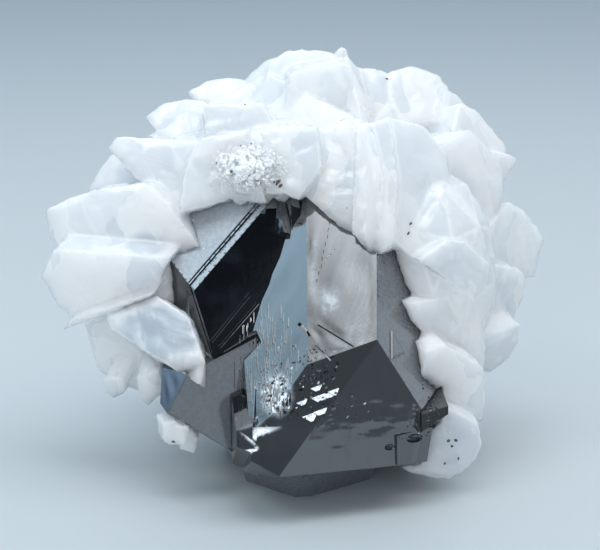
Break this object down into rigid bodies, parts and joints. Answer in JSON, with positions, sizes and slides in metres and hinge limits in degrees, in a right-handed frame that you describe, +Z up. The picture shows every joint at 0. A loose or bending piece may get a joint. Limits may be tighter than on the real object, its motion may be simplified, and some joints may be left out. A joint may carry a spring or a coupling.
{
  "type": "mineral specimen",
  "caption": "Calcite on sphalerite: dark mirror-bright sphalerite crystals set in a wrapping crust of milky white calcite crystals, cut flat underneath.",
  "frame": {"origin": "Centre of the bounding box's footprint, on the flat base the specimen stands on.", "axes": "+Z up out of the base; -Y towards the front, where the sphalerite faces stand free of the calcite; +X to the right seen from the front."},
  "size_m": [0.0896, 0.0808, 0.0719],
  "materials": {
    "sphalerite": "mirror-bright natural crystal faces, near black",
    "calcite": "milky white, translucent, soft gloss",
    "calcite_knob": "milky white, translucent, soft gloss"
  },
  "bodies": {
    "root": {"sphalerite": "sphalerite", "calcite": "calcite", "calcite_knob": "calcite_knob"}
  },
  "joints": []
}
